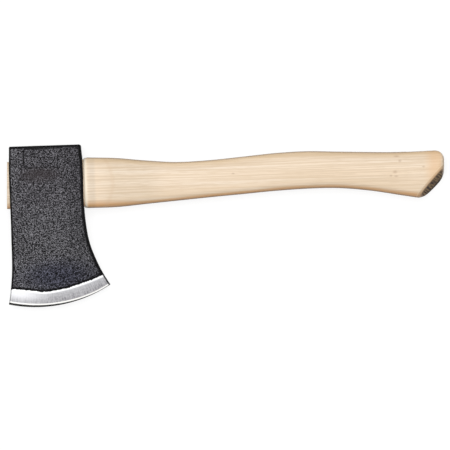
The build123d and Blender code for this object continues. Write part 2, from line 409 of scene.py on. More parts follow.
def head_faces(shape):
    """Faces over the outside of the grid, and which side of the head each is on."""
    row, column, level = np.eye(3, dtype=int)
    last = np.array(shape) - 1
    # For each side: the grid's corner it starts from, and the two steps round each of its faces
    patches = {
        "upper": (last * level, column, row),
        "lower": (0 * last, row, column),
        "right": (last * column, row, level),
        "left": (0 * last, level, row),
        "poll": (0 * last, column, level),
        "edge": (last * row, level, column),
    }
    faces = []
    sides = []
    for side, (corner, step, turn) in patches.items():
        for cell in np.ndindex(*np.where(step + turn, last, 1)):
            start = corner + cell
            face = (start, start + turn, start + turn + step, start + step)
            faces.append([tuple(place) for place in face])
            sides.append(side)
    return faces, sides


# Head's bake map: each side's two axes and the place of the eye's middle in millimetres, the map's
# size in millimetres, and the low corner and size of the eye's wall as shares of the map
BAKE_PLACES = {
    "upper": ((0, 1), (36.0, 101.0)),
    "lower": ((0, 1), (122.0, 101.0)),
    "right": ((2, 1), (188.0, 101.0)),
    "left": ((2, 1), (214.0, 101.0)),
    "poll": ((0, 2), (36.0, 147.0)),
    "edge": ((0, 2), (122.0, 147.0)),
}
BAKE_SIZE = np.array([228.0, 162.0])
BAKE_EYE = np.array([0.6, 0.9])
BAKE_EYE_SIZE = np.array([0.2, 0.08])


def make_head():
    grid, nearness, rim_shades = head_grid()
    faces, sides = head_faces(grid.shape[:3])
    numbers = {}
    loops = []
    corners = []
    for face, side in zip(faces, sides):
        axes, place = BAKE_PLACES[side]
        loops.append([numbers.setdefault(corner, len(numbers)) for corner in face])
        corners += [(grid[corner][list(axes)] + place) / BAKE_SIZE for corner in face]
    order = tuple(np.array(list(numbers)).T)
    points = grid[order]
    x, y, z = points.T
    panel = np.where(z > CHEEK_HALF - 1, np.minimum(outside_panel(x, y), PANEL_FAR), PANEL_FAR)
    values = {"margin": rim_shades[order], "panel": panel}
    return make_piece("forged_head", forged(points, nearness[order]), loops, corners, values)


def forged(points, rim):
    """The points with the pressed panel, the forging's unevenness and the rough coating."""
    x, y, z = points.T
    coated = soft_step(edge_distance(x, y) - (EDGE_RADIUS - grind_radius(x)), 0.0, 1.0)
    thick = np.clip(np.abs(z) / CHEEK_HALF, 0.25, 1)
    coarse = lumps(points, 1.5, 3.0)
    fine = lumps(points, 0.9, 8.0)
    grains = np.clip(0.5 + 0.6 * coarse + 0.4 * fine, 0, 1) * (1 - 0.6 * np.clip(rim, 0, 1))
    waves = np.clip(0.5 + 0.5 * lumps(points, 16.0, 5.0), 0, 1)
    depth = coated * thick * (COATING_DEPTH * grains + FORGED_DEPTH * waves)
    on_side = (np.abs(x) > SIDE_X) & (np.abs(z) <= CHEEK_SHARE * CHEEK_HALF)
    normal = np.stack([np.where(on_side, x, 0), 0 * y, np.where(on_side, 0, z)], axis=-1)
    normal[y > POLL_Y - POLL_SKIN] = (0, 1, 0)
    normal /= np.maximum(np.linalg.norm(normal, axis=1, keepdims=True), 1e-6)
    moved = points - normal * depth[:, None]
    pressed = 1 - soft_step(outside_panel(x, y), -0.5, 0.3)
    moved[:, 2] -= pressed * PANEL_DEPTH * (z > CHEEK_HALF - 1)
    return moved


def oval_ring(x, middle, reach, half, fullness=EYE_FULLNESS):
    """Points round a rounded section square to x."""
    turn = np.arange(ROUND_CELLS) * 2 * math.pi / ROUND_CELLS
    along, across = np.cos(turn), np.sin(turn)
    size = (np.abs(along) ** fullness + np.abs(across) ** fullness) ** (-1 / fullness)
    ring = np.empty((ROUND_CELLS, 3))
    ring[:, 0] = x
    ring[:, 1] = middle + reach * size * along
    ring[:, 2] = half * size * across
    return ring


def tube_faces(rings):
    """Faces of a tube of rings, closed at both ends, with their places round and along it."""
    places = []
    for ring in range(rings - 1):
        for cell in range(ROUND_CELLS):
            places.append([(cell, ring), (cell + 1, ring), (cell + 1, ring + 1), (cell, ring + 1)])
    places.append([(cell, 0) for cell in reversed(range(ROUND_CELLS))])
    places.append([(cell, rings - 1) for cell in range(ROUND_CELLS)])
    faces = [[ring * ROUND_CELLS + cell % ROUND_CELLS for cell, ring in face] for face in places]
    return faces, places


def tongue_size(x):
    places, reaches, halves = np.array(TONGUE).T
    return np.interp(x, places, reaches), np.interp(x, places, halves)


def eye_cutter():
    """What is open in the head, a little wider at both mouths."""
    rings = []
    for x, flare in EYE_FLARES:
        reach, half = tongue_size(x)
        grow = EYE_GAP + flare
        rings.append(oval_ring(x, 0, reach + grow, half + grow))
    faces, places = tube_faces(len(rings))
    size = np.array([ROUND_CELLS, len(rings)])
    corners = [BAKE_EYE + BAKE_EYE_SIZE * corner / size for face in places for corner in face]
    points = np.concatenate(rings)
    values = {"margin": np.zeros(len(points)), "panel": np.full(len(points), PANEL_FAR)}
    return make_piece("eye_cutter", points, faces, corners, values)


# Handle


def grip_section(x):
    """Middle, reach, half the thickness and fullness of the grip's section."""
    stations = np.array(STATIONS)
    top, bottom, half, fullness = (smooth(stations[:, [0, item]], x) for item in (1, 2, 3, 4))
    return (top + bottom) / 2, (top - bottom) / 2, half, fullness


def grip_outside(points):
    """About how far points are outside the grip with its rounded nose, negative inside."""
    x, y, z = points.T
    middle, reach, half, fullness = grip_section(x)
    size = (np.abs((y - middle) / reach) ** fullness + np.abs(z / half) ** fullness) ** (1 / fullness)
    section = (size - 1) * half
    past_x = np.clip(x - NOSE_X + NOSE_RADIUS, 0, None)
    past_y = np.clip(y - NOSE_TOP_Y + NOSE_RADIUS, 0, None)
    plan = np.hypot(past_x, past_y) - NOSE_RADIUS
    plan_past = np.clip(plan + NOSE_ROUND, 0, None)
    side_past = np.clip(np.abs(z) - NOSE_HALF + NOSE_ROUND, 0, None)
    nose = np.hypot(plan_past, side_past) - NOSE_ROUND
    apart = np.clip(1 - np.abs(section - nose) / NOSE_BLEND, 0, None)
    return np.maximum(section, nose) + NOSE_BLEND * apart**2 / 4


def slanted_ring(slant, lean, depth, inset):
    """Points round the butt in a plane that is turned towards the saw cut, depth inside it."""
    outward = Vector((math.cos(slant), math.sin(slant), math.tan(lean))).normalized()
    upward = Vector((-math.sin(slant), math.cos(slant), 0))
    across = outward.cross(upward)
    pivot = Vector((*CUT_POINT, 0)) - FAN_PIVOT_DEPTH * CUT_UP
    share = slant / CUT_SLANT
    center = pivot + upward * (FAN_PIVOT_DEPTH + 1 - share) - outward * depth
    turn = np.arange(ROUND_CELLS)[:, None] * 2 * math.pi / ROUND_CELLS
    rays = BUTT_REACH * np.cos(turn) * np.array(upward) + BUTT_HALF * np.sin(turn) * np.array(across)
    rays /= np.linalg.norm(rays, axis=1, keepdims=True)
    near, far = np.zeros(ROUND_CELLS), np.full(ROUND_CELLS, BUTT_LIMIT)
    for _ in range(36):
        reach = (near + far) / 2
        inside = grip_outside(np.array(center) + rays * reach[:, None]) < 0
        near, far = np.where(inside, reach, near), np.where(inside, far, reach)
    return np.array(center) + rays * (near - inset)[:, None]


def flat_beside_eye(points):
    """The points with both sides sanded flat beside the eye, but not the tongue's."""
    x, y, z = points.T
    outside = np.hypot(x - FLAT_END_X + FLAT_END_RADIUS, y) - FLAT_END_RADIUS
    limit = FLAT_HALF + FLAT_RISE * soft_step(outside, -0.6, 2.6)
    limit = np.where(x < TONGUE[-1][0] - 0.5, np.inf, limit)
    flat = points.copy()
    flat[:, 2] = np.clip(z, -limit, limit)
    return flat


def tongue_rings():
    """Kinds and rings from the middle of the tongue's sawn end to the shoulder."""
    stub_x, stub_reach, stub_half = TONGUE[0]
    rings = []
    for share in np.linspace(CENTER_SHARE, 1, 9)[:-1]:
        reach, half = share * (stub_reach - STUB_ROUND), share * (stub_half - STUB_ROUND)
        rings.append(("stub_end", oval_ring(stub_x, 0, reach, half)))
    for turn in np.linspace(0, math.pi / 2, 5):
        inset = STUB_ROUND * (1 - math.sin(turn))
        x = stub_x + STUB_ROUND * (1 - math.cos(turn))
        rings.append(("stub", oval_ring(x, 0, stub_reach - inset, stub_half - inset)))
    near_end = np.arange(stub_x + 2 * STUB_ROUND, STUB_LEVEL_X, STUB_STEP)
    for x in (*near_end, *np.linspace(TONGUE_LEVEL_X, TONGUE[-1][0], 10)):
        rings.append(("tongue", oval_ring(x, 0, *tongue_size(x))))
    for _, ring in rings:
        slanted = np.clip((ring[:, 0] - STUB_LEVEL_X) / (stub_x - STUB_LEVEL_X), 0, 1)
        ring[:, 0] += slanted * math.tan(STUB_SLANT) * ring[:, 1]
    return rings


def grip_rings():
    """Kinds and rings that swell from the tongue to the grip, and those along it."""
    shoulder_x, tongue_reach, tongue_half = TONGUE[-1]
    start = STATIONS[0][0]
    middle, reach, half, _ = grip_section(start)
    rings = []
    for turn in np.linspace(0, math.pi / 2, 11)[1:-1]:
        swell = math.sin(turn) ** SHOULDER_SWELL
        swollen_reach = tongue_reach + (reach - tongue_reach) * swell
        swollen_half = tongue_half + (half - tongue_half) * swell
        x = start - (start - shoulder_x) * math.cos(turn)
        rings.append(("grip", oval_ring(x, middle * swell, swollen_reach, swollen_half)))
    fan_start = CUT_POINT[0] - FAN_PIVOT_DEPTH * CUT_UP.x
    for x in np.linspace(start, fan_start, round((fan_start - start) / RING_STEP) + 1)[:-1]:
        rings.append(("grip", oval_ring(x, *grip_section(x))))
    return rings


def butt_rings():
    """Kinds and rings that turn to the cut's slant, go over its rim and close in on its middle."""
    rings = []
    for share in np.linspace(0, 1, FAN_RINGS):
        ring = slanted_ring(CUT_SLANT * share, CUT_LEAN * share, CUT_RIM * share, 0.0)
        rings.append(("grip", ring))
    for turn in np.linspace(0, math.pi / 2, RIM_RINGS)[1:]:
        depth = CUT_RIM * (1 - math.sin(turn)) ** 0.8
        inset = CUT_RIM * (1 - math.cos(turn)) ** 0.8
        rings.append(("rim", slanted_ring(CUT_SLANT, CUT_LEAN, depth, inset)))
    outer = rings[-1][1]
    center = outer.mean(axis=0)
    for share in np.linspace(1, CENTER_SHARE, CAP_RINGS)[1:]:
        rings.append(("cut", center + (outer - center) * share))
    return rings


# Handle's bake map: a margin round it, where the long sides start, and for each sawn end the place
# of its middle, the y of that and how many millimetres the whole map would be across
BAKE_MARGIN = 0.004
BAKE_SIDES_START = 0.2
BAKE_ENDS = {"cut": (0.11, -10.0, 360.0), "stub_end": (0.32, 0.0, 240.0)}
BAKE_ENDS_UP = 0.09
BAKE_ENDS_HEIGHT = 180.0


def handle_corner(kind, point, round_share, along_share):
    """Where a corner of a face lies on the handle's bake map."""
    if kind in BAKE_ENDS:
        place, middle, width = BAKE_ENDS[kind]
        return place + (point[1] - middle) / width, BAKE_ENDS_UP + point[2] / BAKE_ENDS_HEIGHT
    across = BAKE_MARGIN + (1 - 2 * BAKE_MARGIN) * round_share
    return across, BAKE_SIDES_START + (1 - BAKE_MARGIN - BAKE_SIDES_START) * along_share


def ring_shares(rings, kinds):
    """How far along the bake map each ring is, from 0 to 1, with little room for the tongue."""
    lengths = [0.0]
    for number in range(1, len(rings)):
        step = np.linalg.norm(rings[number].max(axis=0) - rings[number - 1].max(axis=0))
        on_tongue = "tongue" in kinds[number - 1 : number + 1]
        lengths.append(lengths[-1] + (1.0 if on_tongue else step))
    return np.array(lengths) / lengths[-1]


def make_handle():
    kinds, rings = zip(*tongue_rings(), *grip_rings(), *butt_rings())
    points = np.concatenate(rings)
    shares = ring_shares(rings, kinds)
    faces, places = tube_faces(len(rings))
    corners = []
    for face in places:
        near, far = kinds[face[0][1]], kinds[face[2][1]]
        kind = far if far == "cut" else near
        for column, ring in face:
            point = points[ring * ROUND_CELLS + column % ROUND_CELLS]
            corners.append(handle_corner(kind, point, column / ROUND_CELLS, shares[ring]))
    values = handle_values(points, np.array(kinds))
    return make_piece("curved_handle", worn(points, values), faces, corners, values)


def rim_shares(kinds):
    """How far each ring is over the rim of the saw cut, from 0 on the grip to 1 on the cut."""
    on_rim = kinds == "rim"
    shares = np.cumsum(on_rim) / on_rim.sum()
    return np.where(on_rim, shares, (kinds == "cut").astype(float))


def handle_values(points, kinds):
    """The share of end grain and of the cut's rim, and how far points are from top and bottom."""
    ends = np.isin(kinds, ["cut", "stub_end"]).astype(float)
    x, y, _ = points.T
    middle, reach, _, _ = grip_section(np.clip(x, STATIONS[0][0], None))
    top = np.where(x > NOSE_START_X, np.minimum(middle + reach, NOSE_TOP_Y), middle + reach)
    bottom = middle - reach
    return {
        "end_grain": np.repeat(ends, ROUND_CELLS),
        "saw_rim": np.repeat(rim_shares(kinds), ROUND_CELLS),
        "below": np.clip(y - bottom, 0, SIDE_FAR),
        "above": np.clip(top - y, 0, SIDE_FAR),
    }


def saw_streaks(points):
    """Ridges across the sawn face, from 0 to 1."""
    x, y, z = points.T
    along = y * math.cos(CUT_SLANT) - x * math.sin(CUT_SLANT)
    across = np.stack([along + 0.6 * z, 0 * z, z], axis=-1)
    return np.clip(0.5 + 0.8 * lumps(across, (1.1, 9.0, 9.0), 21.0), 0, 1)


def worn(points, values):
    """The points with the flats beside the eye, a hand-sanded surface and a sawn butt."""
    moved = flat_beside_eye(points)
    x, y, z = moved.T
    shown = soft_step(x, 30.0, 38.0) * (1 - values["end_grain"])
    sanded = np.clip(0.5 + 0.5 * lumps(points, (22.0, 7.0, 7.0), 11.0), 0, 1)
    fibres = np.clip(0.5 + 0.5 * lumps(points, (60.0, 1.6, 1.6), 17.0), 0, 1)
    depth = shown * (SANDED_DEPTH * sanded + FIBRE_DEPTH * fibres)
    middle, reach, half, _ = grip_section(np.clip(x, STATIONS[0][0], STATIONS[-2][0]))
    normal = np.stack([0 * x, (y - middle) / reach**2, z / half**2], axis=-1)
    normal /= np.maximum(np.linalg.norm(normal, axis=1, keepdims=True), 1e-6)
    moved = moved - normal * depth[:, None]
    outward = np.array([math.cos(CUT_SLANT), math.sin(CUT_SLANT), math.tan(CUT_LEAN)])
    outward /= np.linalg.norm(outward)
    sawn = values["end_grain"] * (x > 0) * SAW_DEPTH * saw_streaks(points)
    return moved - outward * sawn[:, None]


def wedge_cutter(name, size, y, turn):
    """A long thin wedge along the eye, from outside the tongue's end to its tip."""
    end_half, tip_half, tip_x, half_width = size
    end_x = TONGUE[0][0]
    outside_x = end_x - 5.0
    outside_half = end_half + (end_half - tip_half) * (end_x - outside_x) / (tip_x - end_x)
    turn = math.radians(turn)
    points = []
    for x, half in ((outside_x, outside_half), (tip_x, tip_half)):
        for side, up in ((-1, -1), (1, -1), (1, 1), (-1, 1)):
            across, above = side * half_width, up * half
            points.append((
                x,
                y + across * math.cos(turn) - above * math.sin(turn),
                across * math.sin(turn) + above * math.cos(turn),
            ))
    faces = [(0, 1, 2, 3), (4, 7, 6, 5), (0, 4, 5, 1), (1, 5, 6, 2), (2, 6, 7, 3), (3, 7, 4, 0)]
    corners = [(0.5, 0.05)] * 24
    inside, far = [0.0] * 8, [SIDE_FAR] * 8
    values = {"end_grain": inside, "saw_rim": inside, "below": far, "above": far}
    return make_piece(name, points, faces, corners, values)


def wedge_cutters():
    """What the wedges fill in the tongue."""
    cutters = [wedge_cutter("kerf", KERF, 0.0, 0.0)]
    for number, (y, turn) in enumerate(STEEL_WEDGES):
        # A steel wedge stands across the wooden one, so its width runs along z
        cutters.append(wedge_cutter(f"slot_{number}", STEEL_WEDGE, y, 90.0 + turn))
    return cutters


# Materials


def plug(tree, value, socket):
    """Links a socket to another, or sets it."""
    if isinstance(value, bpy.types.NodeSocket):
        tree.links.new(value, socket)
    else:
        socket.default_value = value


def new_node(tree, kind, inputs, **settings):
    """A new node with settings, and values or links for its inputs."""
    node = tree.nodes.new(kind)
    for key, value in settings.items():
        setattr(node, key, value)
    for key, value in inputs.items():
        plug(tree, value, node.inputs[key])
    return node


class Shader:
    """One material with short calls for its nodes; its place is in millimetres from the eye."""

    def __init__(self, name, **constants):
        self.material = bpy.data.materials.new(name)
        self.material.use_nodes = True
        self.tree = self.material.node_tree
        self.surface = self.tree.nodes["Principled BSDF"]
        for socket, value in constants.items():
            self.surface.inputs[socket.replace("_", " ")].default_value = value
        coordinates = self.node("ShaderNodeTexCoord", {})
        moved = self.vector("SUBTRACT", coordinates.outputs["Object"], tuple(EYE))
        self.place = self.vector("MULTIPLY", moved, (1 / MM,) * 3)
        self.x, self.y, self.z = self.node("ShaderNodeSeparateXYZ", {0: self.place}).outputs

    def node(self, kind, inputs, **settings):
        return new_node(self.tree, kind, inputs, **settings)

    def vector(self, operation, first, second):
        return self.node("ShaderNodeVectorMath", {0: first, 1: second}, operation=operation).outputs[0]

    def math(self, operation, first, second=0.0):
        return self.node("ShaderNodeMath", {0: first, 1: second}, operation=operation).outputs[0]

    def add(self, first, second):
        return self.math("ADD", first, second)

    def less(self, first, second):
        """The first value less the second."""
        return self.math("SUBTRACT", first, second)

    def times(self, first, second):
        return self.math("MULTIPLY", first, second)

    def away(self, value, middle):
        """How far a value is from the middle, either way."""
        return self.math("ABSOLUTE", self.less(value, middle))

    def attribute(self, name):
        """A value kept at the mesh's points."""
        return self.node("ShaderNodeAttribute", {}, attribute_name=name).outputs["Fac"]

    def noise_at(self, place, detail, roughness):
        """Noise from 0 to 1 by place, with lumps of about 1."""
        inputs = {"Vector": place, "Scale": 1.0, "Detail": detail, "Roughness": roughness}
        return self.node("ShaderNodeTexNoise", inputs).outputs[0]

    def noise(self, size, detail=2.0, roughness=0.5, seed=0.0):
        """Noise from 0 to 1 with lumps of this size, or of three sizes along the axes."""
        sizes = size if isinstance(size, tuple) else (size,) * 3
        stretched = self.vector("DIVIDE", self.place, sizes)
        return self.noise_at(self.vector("ADD", stretched, (seed,) * 3), detail, roughness)

    def flat_noise(self, along, across, detail=2.0, roughness=0.5):
        """Noise from 0 to 1 by two values, with lumps of about 1."""
        place = self.node("ShaderNodeCombineXYZ", {0: along, 1: across, 2: 0.0}).outputs[0]
        return self.noise_at(place, detail, roughness)

    def spread(self, value, low, high, start=0.0, end=1.0, kind="LINEAR"):
        """Maps low to start and high to end, and stops there."""
        inputs = {0: value, 1: low, 2: high, 3: start, 4: end}
        return self.node("ShaderNodeMapRange", inputs, interpolation_type=kind).outputs[0]

    def ease(self, value, low, high, start=0.0, end=1.0):
        """The same with smooth ends."""
        return self.spread(value, low, high, start, end, "SMOOTHSTEP")

    def blend(self, share, first, second, kind="MIX"):
        """A colour between two others."""
        node = self.node("ShaderNodeMix", {}, data_type="RGBA", blend_type=kind)
        for key, value in ((0, share), (6, first), (7, second)):
            plug(self.tree, value, node.inputs[key])
        return node.outputs[2]

    def tint(self, share, color, over):
        """A colour multiplied by another."""
        return self.blend(share, color, over, "MULTIPLY")

    def distance(self, x, y, stretch=(1.0, 1.0)):
        """Distance in the plane of x and y from a place, each way divided by stretch."""
        along = self.math("DIVIDE", self.less(self.x, x), stretch[0])
        up = self.math("DIVIDE", self.less(self.y, y), stretch[1])
        return self.math("SQRT", self.add(self.times(along, along), self.times(up, up)))

    def finish(self, color, roughness, height, depth, metallic=0.0):
        """Links the main sockets, with bumps whose height from 0 to 1 stands for this depth in mm."""
        bumps = {"Height": height, "Distance": depth * MM, "Strength": 1.0}
        normal = self.node("ShaderNodeBump", bumps).outputs[0]
        sockets = {"Base Color": color, "Roughness": roughness, "Normal": normal, "Metallic": metallic}
        for name, value in sockets.items():
            plug(self.tree, value, self.surface.inputs[name])
        return self.material


def rgb(red, green, blue):
    """A linear colour from screen values of 0 to 255."""
    linear = []
    for value in (red, green, blue):
        share = value / 255
        linear.append(share / 12.92 if share <= 0.04045 else ((share + 0.055) / 1.055) ** 2.4)
    return (*linear, 1.0)


def coating_color(shader, grains, fine, margin):
    """Pale specks on near-black, partly grain and partly painted glints, with broad patches, painted
    shadow in the panel's line and painted shade on the rims.
    """
    broad = shader.noise(14.0, seed=13.0)
    # The pale specks stand partly for the coating's grain and partly for painted glints of light on it
    coat = shader.blend(shader.spread(grains, 0.47, 0.61), rgb(8, 7, 9), rgb(102, 101, 105))
    # Painted glints: the brightest specks
    coat = shader.blend(shader.spread(fine, 0.56, 0.63, 0.0, 0.66), coat, rgb(184, 183, 189))
    coat = shader.tint(shader.spread(broad, 0.3, 0.7, 0.0, 0.35), coat, rgb(168, 166, 170))

    # Darker towards the handle and above, brown below the panel, and painted shade in blue above the
    # bevel
    coat = shader.tint(shader.ease(shader.x, 8.0, 24.0, 0.0, 0.3), coat, rgb(150, 150, 152))
    upper = shader.times(shader.ease(shader.y, -32.0, -10.0), shader.spread(shader.x, -28.0, -18.0))
    coat = shader.tint(upper, coat, rgb(233, 231, 233))
    brown = shader.ease(shader.distance(-6.0, 8.0, (24.0, 9.0)), 0.2, 1.0, 0.6, 0.0)
    coat = shader.blend(brown, coat, rgb(58, 52, 53))
    # Painted shade, bluish, low on the cheek where it tapers away from the light
    blue = shader.ease(shader.distance(8.0, -75.0, (44.0, 19.0)), 0.2, 1.05, 1.0, 0.0)
    coat = shader.tint(blue, coat, rgb(187, 190, 210))

    # The panel's line is painted shadow in its pressed step, partly paint pooled there, and is clearest
    # at its upper left
    panel_shadow = shader.ease(shader.math("ABSOLUTE", shader.attribute("panel")), 0.25, 0.9, 1.0, 0.0)
    clear = shader.less(1.2, shader.spread(shader.less(shader.x, shader.y), -34.0, -16.0, 0.35, 0.85))
    coat = shader.blend(shader.times(panel_shadow, clear), coat, rgb(18, 18, 19))
    # Painted shade: near-black along the rims
    return shader.blend(shader.ease(margin, 0.04, 0.56, 0.0, 0.96), coat, rgb(6, 6, 7))


def ground_color(shader, marks, from_edge, past_grind):
    """Ground steel, paler towards the coating and the heel, with a painted highlight along its upper
    rim.
    """
    pits = shader.noise(1.4, detail=1.0, seed=4.0)
    ground = shader.blend(shader.spread(marks, 0.38, 0.62), rgb(122, 121, 125), rgb(168, 167, 170))
    ground = shader.blend(shader.spread(pits, 0.42, 0.62, 0.0, 0.5), ground, rgb(186, 185, 188))
    rising = shader.spread(past_grind, -8.0, -1.5, 0.0, 0.45)
    ground = shader.blend(rising, ground, rgb(208, 208, 211))
    to_heel = shader.ease(shader.x, -26.0, 8.0, 1.0, 0.0)
    inner = shader.ease(from_edge, 3.5, 9.5, 0.25, 0.85)
    ground = shader.blend(shader.times(to_heel, inner), ground, rgb(236, 236, 239))
    # Painted highlight: a white line along the bevel's upper rim
    return shader.blend(shader.ease(past_grind, -2.1, -0.8, 0.0, 0.92), ground, rgb(250, 250, 251))


def grind_width(shader):
    """The bevel's width along x, as a curve of the same points as its shape."""
    curve = shader.node("ShaderNodeFloatCurve", {})
    low, high = GRIND_WIDTHS[0][0], GRIND_WIDTHS[-1][0]
    points = curve.mapping.curves[0].points
    for number, (x, width) in enumerate(GRIND_WIDTHS):
        place = ((x - low) / (high - low), width / GRIND_CURVE_TOP)
        if number < len(points):
            points[number].location = place
        else:
            points.new(*place)
    curve.mapping.update()
    plug(shader.tree, shader.spread(shader.x, low, high), curve.inputs["Value"])
    return shader.times(curve.outputs[0], GRIND_CURVE_TOP)


def steel_material():
    """Rough black coating, and a ground edge with marks across it, a bright honed strip and a painted
    shade line.
    """
    shader = Shader("coated_and_ground_steel", Specular_IOR_Level=0.06)
    margin = shader.attribute("margin")
    from_edge = shader.less(EDGE_RADIUS, shader.distance(*EDGE_CENTER))
    past_grind = shader.less(from_edge, grind_width(shader))
    grains = shader.noise(1.15, detail=1.5, roughness=0.6)
    fine = shader.noise(0.7, detail=1.0, seed=7.0)
    around = shader.math(
        "ARCTAN2", shader.less(shader.x, EDGE_CENTER[0]), shader.less(EDGE_CENTER[1], shader.y)
    )
    marks = shader.flat_noise(
        shader.times(around, EDGE_RADIUS), shader.math("DIVIDE", from_edge, 9.0), 3.0, 0.7
    )
    coat = coating_color(shader, grains, fine, margin)
    ground = ground_color(shader, marks, from_edge, past_grind)

    # Honed strip, polished and painted brighter as a highlight; painted shade as a dark line at the
    # very edge and along the bevel's ends
    past_edge_line = shader.less(from_edge, shader.spread(shader.x, -20.0, 40.0, 1.75, 0.95))
    past_edge_line = shader.add(past_edge_line, shader.spread(shader.x, 6.0, 40.0, 0.0, 0.5))
    ground = shader.blend(shader.spread(past_edge_line, 1.4, 0.8, 0.0, 0.95), ground, rgb(252, 251, 248))
    edge_shade = shader.spread(past_edge_line, 0.15, -0.2, 0.0, 0.97)
    ground = shader.blend(edge_shade, ground, rgb(16, 13, 12))
    end_shade = shader.times(
        shader.spread(margin, 0.55, 0.78), shader.spread(shader.x, -10.0, 20.0, 0.5, 0.97)
    )
    ground = shader.blend(end_shade, ground, rgb(14, 14, 15))

    # Ragged line between the two, which reaches lower along the left side
    wobble = shader.noise(2.6, detail=3.0, roughness=0.65, seed=9.0)
    ragged = shader.add(past_grind, shader.spread(wobble, 0.2, 0.8, -0.6, 0.6))
    ragged = shader.add(ragged, shader.ease(shader.x, -33.0, -30.6, 2.4, 0.0))
    coated = shader.spread(ragged, -0.12, 0.12)
    coat = shader.blend(shader.spread(ragged, 1.3, 2.6, 0.98, 0.0), coat, rgb(4, 4, 5))
    color = shader.blend(coated, ground, coat)

    coat_rough = shader.spread(grains, 0.47, 0.61, 0.64, 0.5)
    roughness = shader.blend(coated, (0.34,) * 3 + (1,), coat_rough)
    bright = shader.less(1.0, shader.math("MAXIMUM", coated, edge_shade))
    relief = shader.add(shader.times(grains, 0.7), shader.times(fine, 0.3))
    height = shader.blend(coated, shader.times(marks, 0.25), relief)
    return shader.finish(color, roughness, height, 0.16, shader.times(bright, 0.75))


def wood_color(shader, light, middle, dark):
    """Straight lengthwise grain: broad bands, growth lines and fine fibres."""
    bands = shader.noise((160.0, 6.0, 9.0), seed=2.0)
    lines = shader.noise((110.0, 1.1, 5.0), detail=1.0, roughness=0.6, seed=5.0)
    fibres = shader.noise((12.0, 0.7, 0.7), seed=8.0)
    color = shader.blend(shader.spread(bands, 0.35, 0.65), light, middle)
    color = shader.blend(shader.spread(lines, 0.42, 0.6, 0.0, 0.7), color, dark)
    color = shader.blend(shader.spread(fibres, 0.48, 0.66, 0.0, 0.55), color, dark)
    relief = shader.add(shader.times(lines, 0.6), shader.times(fibres, 0.4))
    return color, relief


def lower_side_shade(shader, color):
    """Adds painted shade as an orange-brown band, wider beside the eye and at the butt, and darkest
    underneath.
    """
    below = shader.attribute("below")
    soft = shader.noise((30.0, 8.0, 8.0), detail=1.0, seed=31.0)
    beside_eye = shader.ease(shader.x, 50.0, 85.0, 3.0, 0.0)
    at_butt = shader.ease(shader.x, 262.0, 305.0, 0.0, 1.8)
    wider = shader.math("MAXIMUM", beside_eye, at_butt)
    width = shader.add(shader.spread(soft, 0.3, 0.7, 2.8, 3.5), wider)
    share = shader.math("DIVIDE", below, width)
    # Painted shade of the rounded lower side, which turns away from the light
    color = shader.blend(shader.ease(share, 0.35, 1.15, 0.8, 0.0), color, rgb(226, 166, 102))
    band_edge_shade = shader.spread(shader.away(share, 0.86), 0.0, 0.14, 0.3, 0.0)
    band_edge_shade = shader.times(band_edge_shade, shader.spread(wider, 0.5, 1.5))
    color = shader.blend(band_edge_shade, color, rgb(168, 122, 76))
    color = shader.blend(shader.ease(below, 0.1, 1.2, 0.9, 0.0), color, rgb(124, 74, 36))

    # Painted light: a little lighter above the band, against the shade of the rounding there
    lighter = shader.times(
        shader.spread(below, 3.0, 5.0, 0.0, 0.3), shader.spread(below, 6.0, 10.0, 1.0, 0.0)
    )
    return shader.blend(lighter, color, rgb(255, 228, 194))


def upper_edge_shade(shader, color):
    """Adds painted shade on the rounded upper edge: a warmer strip with a thin browner line above it.
    """
    above = shader.attribute("above")
    color = shader.blend(shader.spread(above, 1.0, 5.0, 0.5, 0.0), color, rgb(255, 218, 166))
    return shader.blend(shader.ease(above, 0.15, 1.2, 0.8, 0.0), color, rgb(150, 110, 66))


def near_eye(shader, color):
    """Adds painted shade on the neck, the flat's run-out as a faint arc, painted light on a pale
    shoulder and a greyer strip of painted shade.
    """
    # Painted shade: a darker neck
    neck = shader.ease(shader.away(shader.x, 68.0), 10.0, 34.0, 1.0, 0.0)
    color = shader.tint(neck, color, rgb(243, 243, 242))
    from_arc = shader.away(shader.distance(FLAT_END_X - FLAT_END_RADIUS, 0.0), FLAT_END_RADIUS)
    arc = shader.times(shader.ease(from_arc, 0.2, 2.6, 0.22, 0.0), shader.spread(shader.x, 38.0, 44.0))
    color = shader.blend(arc, color, rgb(214, 182, 148))
    # Painted light: a pale shoulder, whose face turns towards the light
    shoulder = shader.times(
        shader.ease(shader.x, 31.8, 34.4, 0.95, 0.0), shader.spread(shader.x, 30.6, 30.9)
    )
    color = shader.blend(shoulder, color, rgb(255, 242, 220))
    # Painted shade: a greyer strip past the shoulder's round-over
    greyer = shader.ease(shader.away(shader.x, 37.0), 1.0, 4.5, 1.0, 0.0)
    return shader.tint(greyer, color, rgb(241, 243, 246))


def flecked(shader, color):
    """Adds the small dark marks on the upper side."""
    upper = shader.spread(shader.z, 0.0, 2.0)
    for x, y, length, width in FLECKS:
        mark = shader.ease(shader.distance(x, y, (length, width)), 0.0, 1.2, 0.42, 0.0)
        color = shader.blend(shader.times(mark, upper), color, rgb(164, 124, 88))
    return color


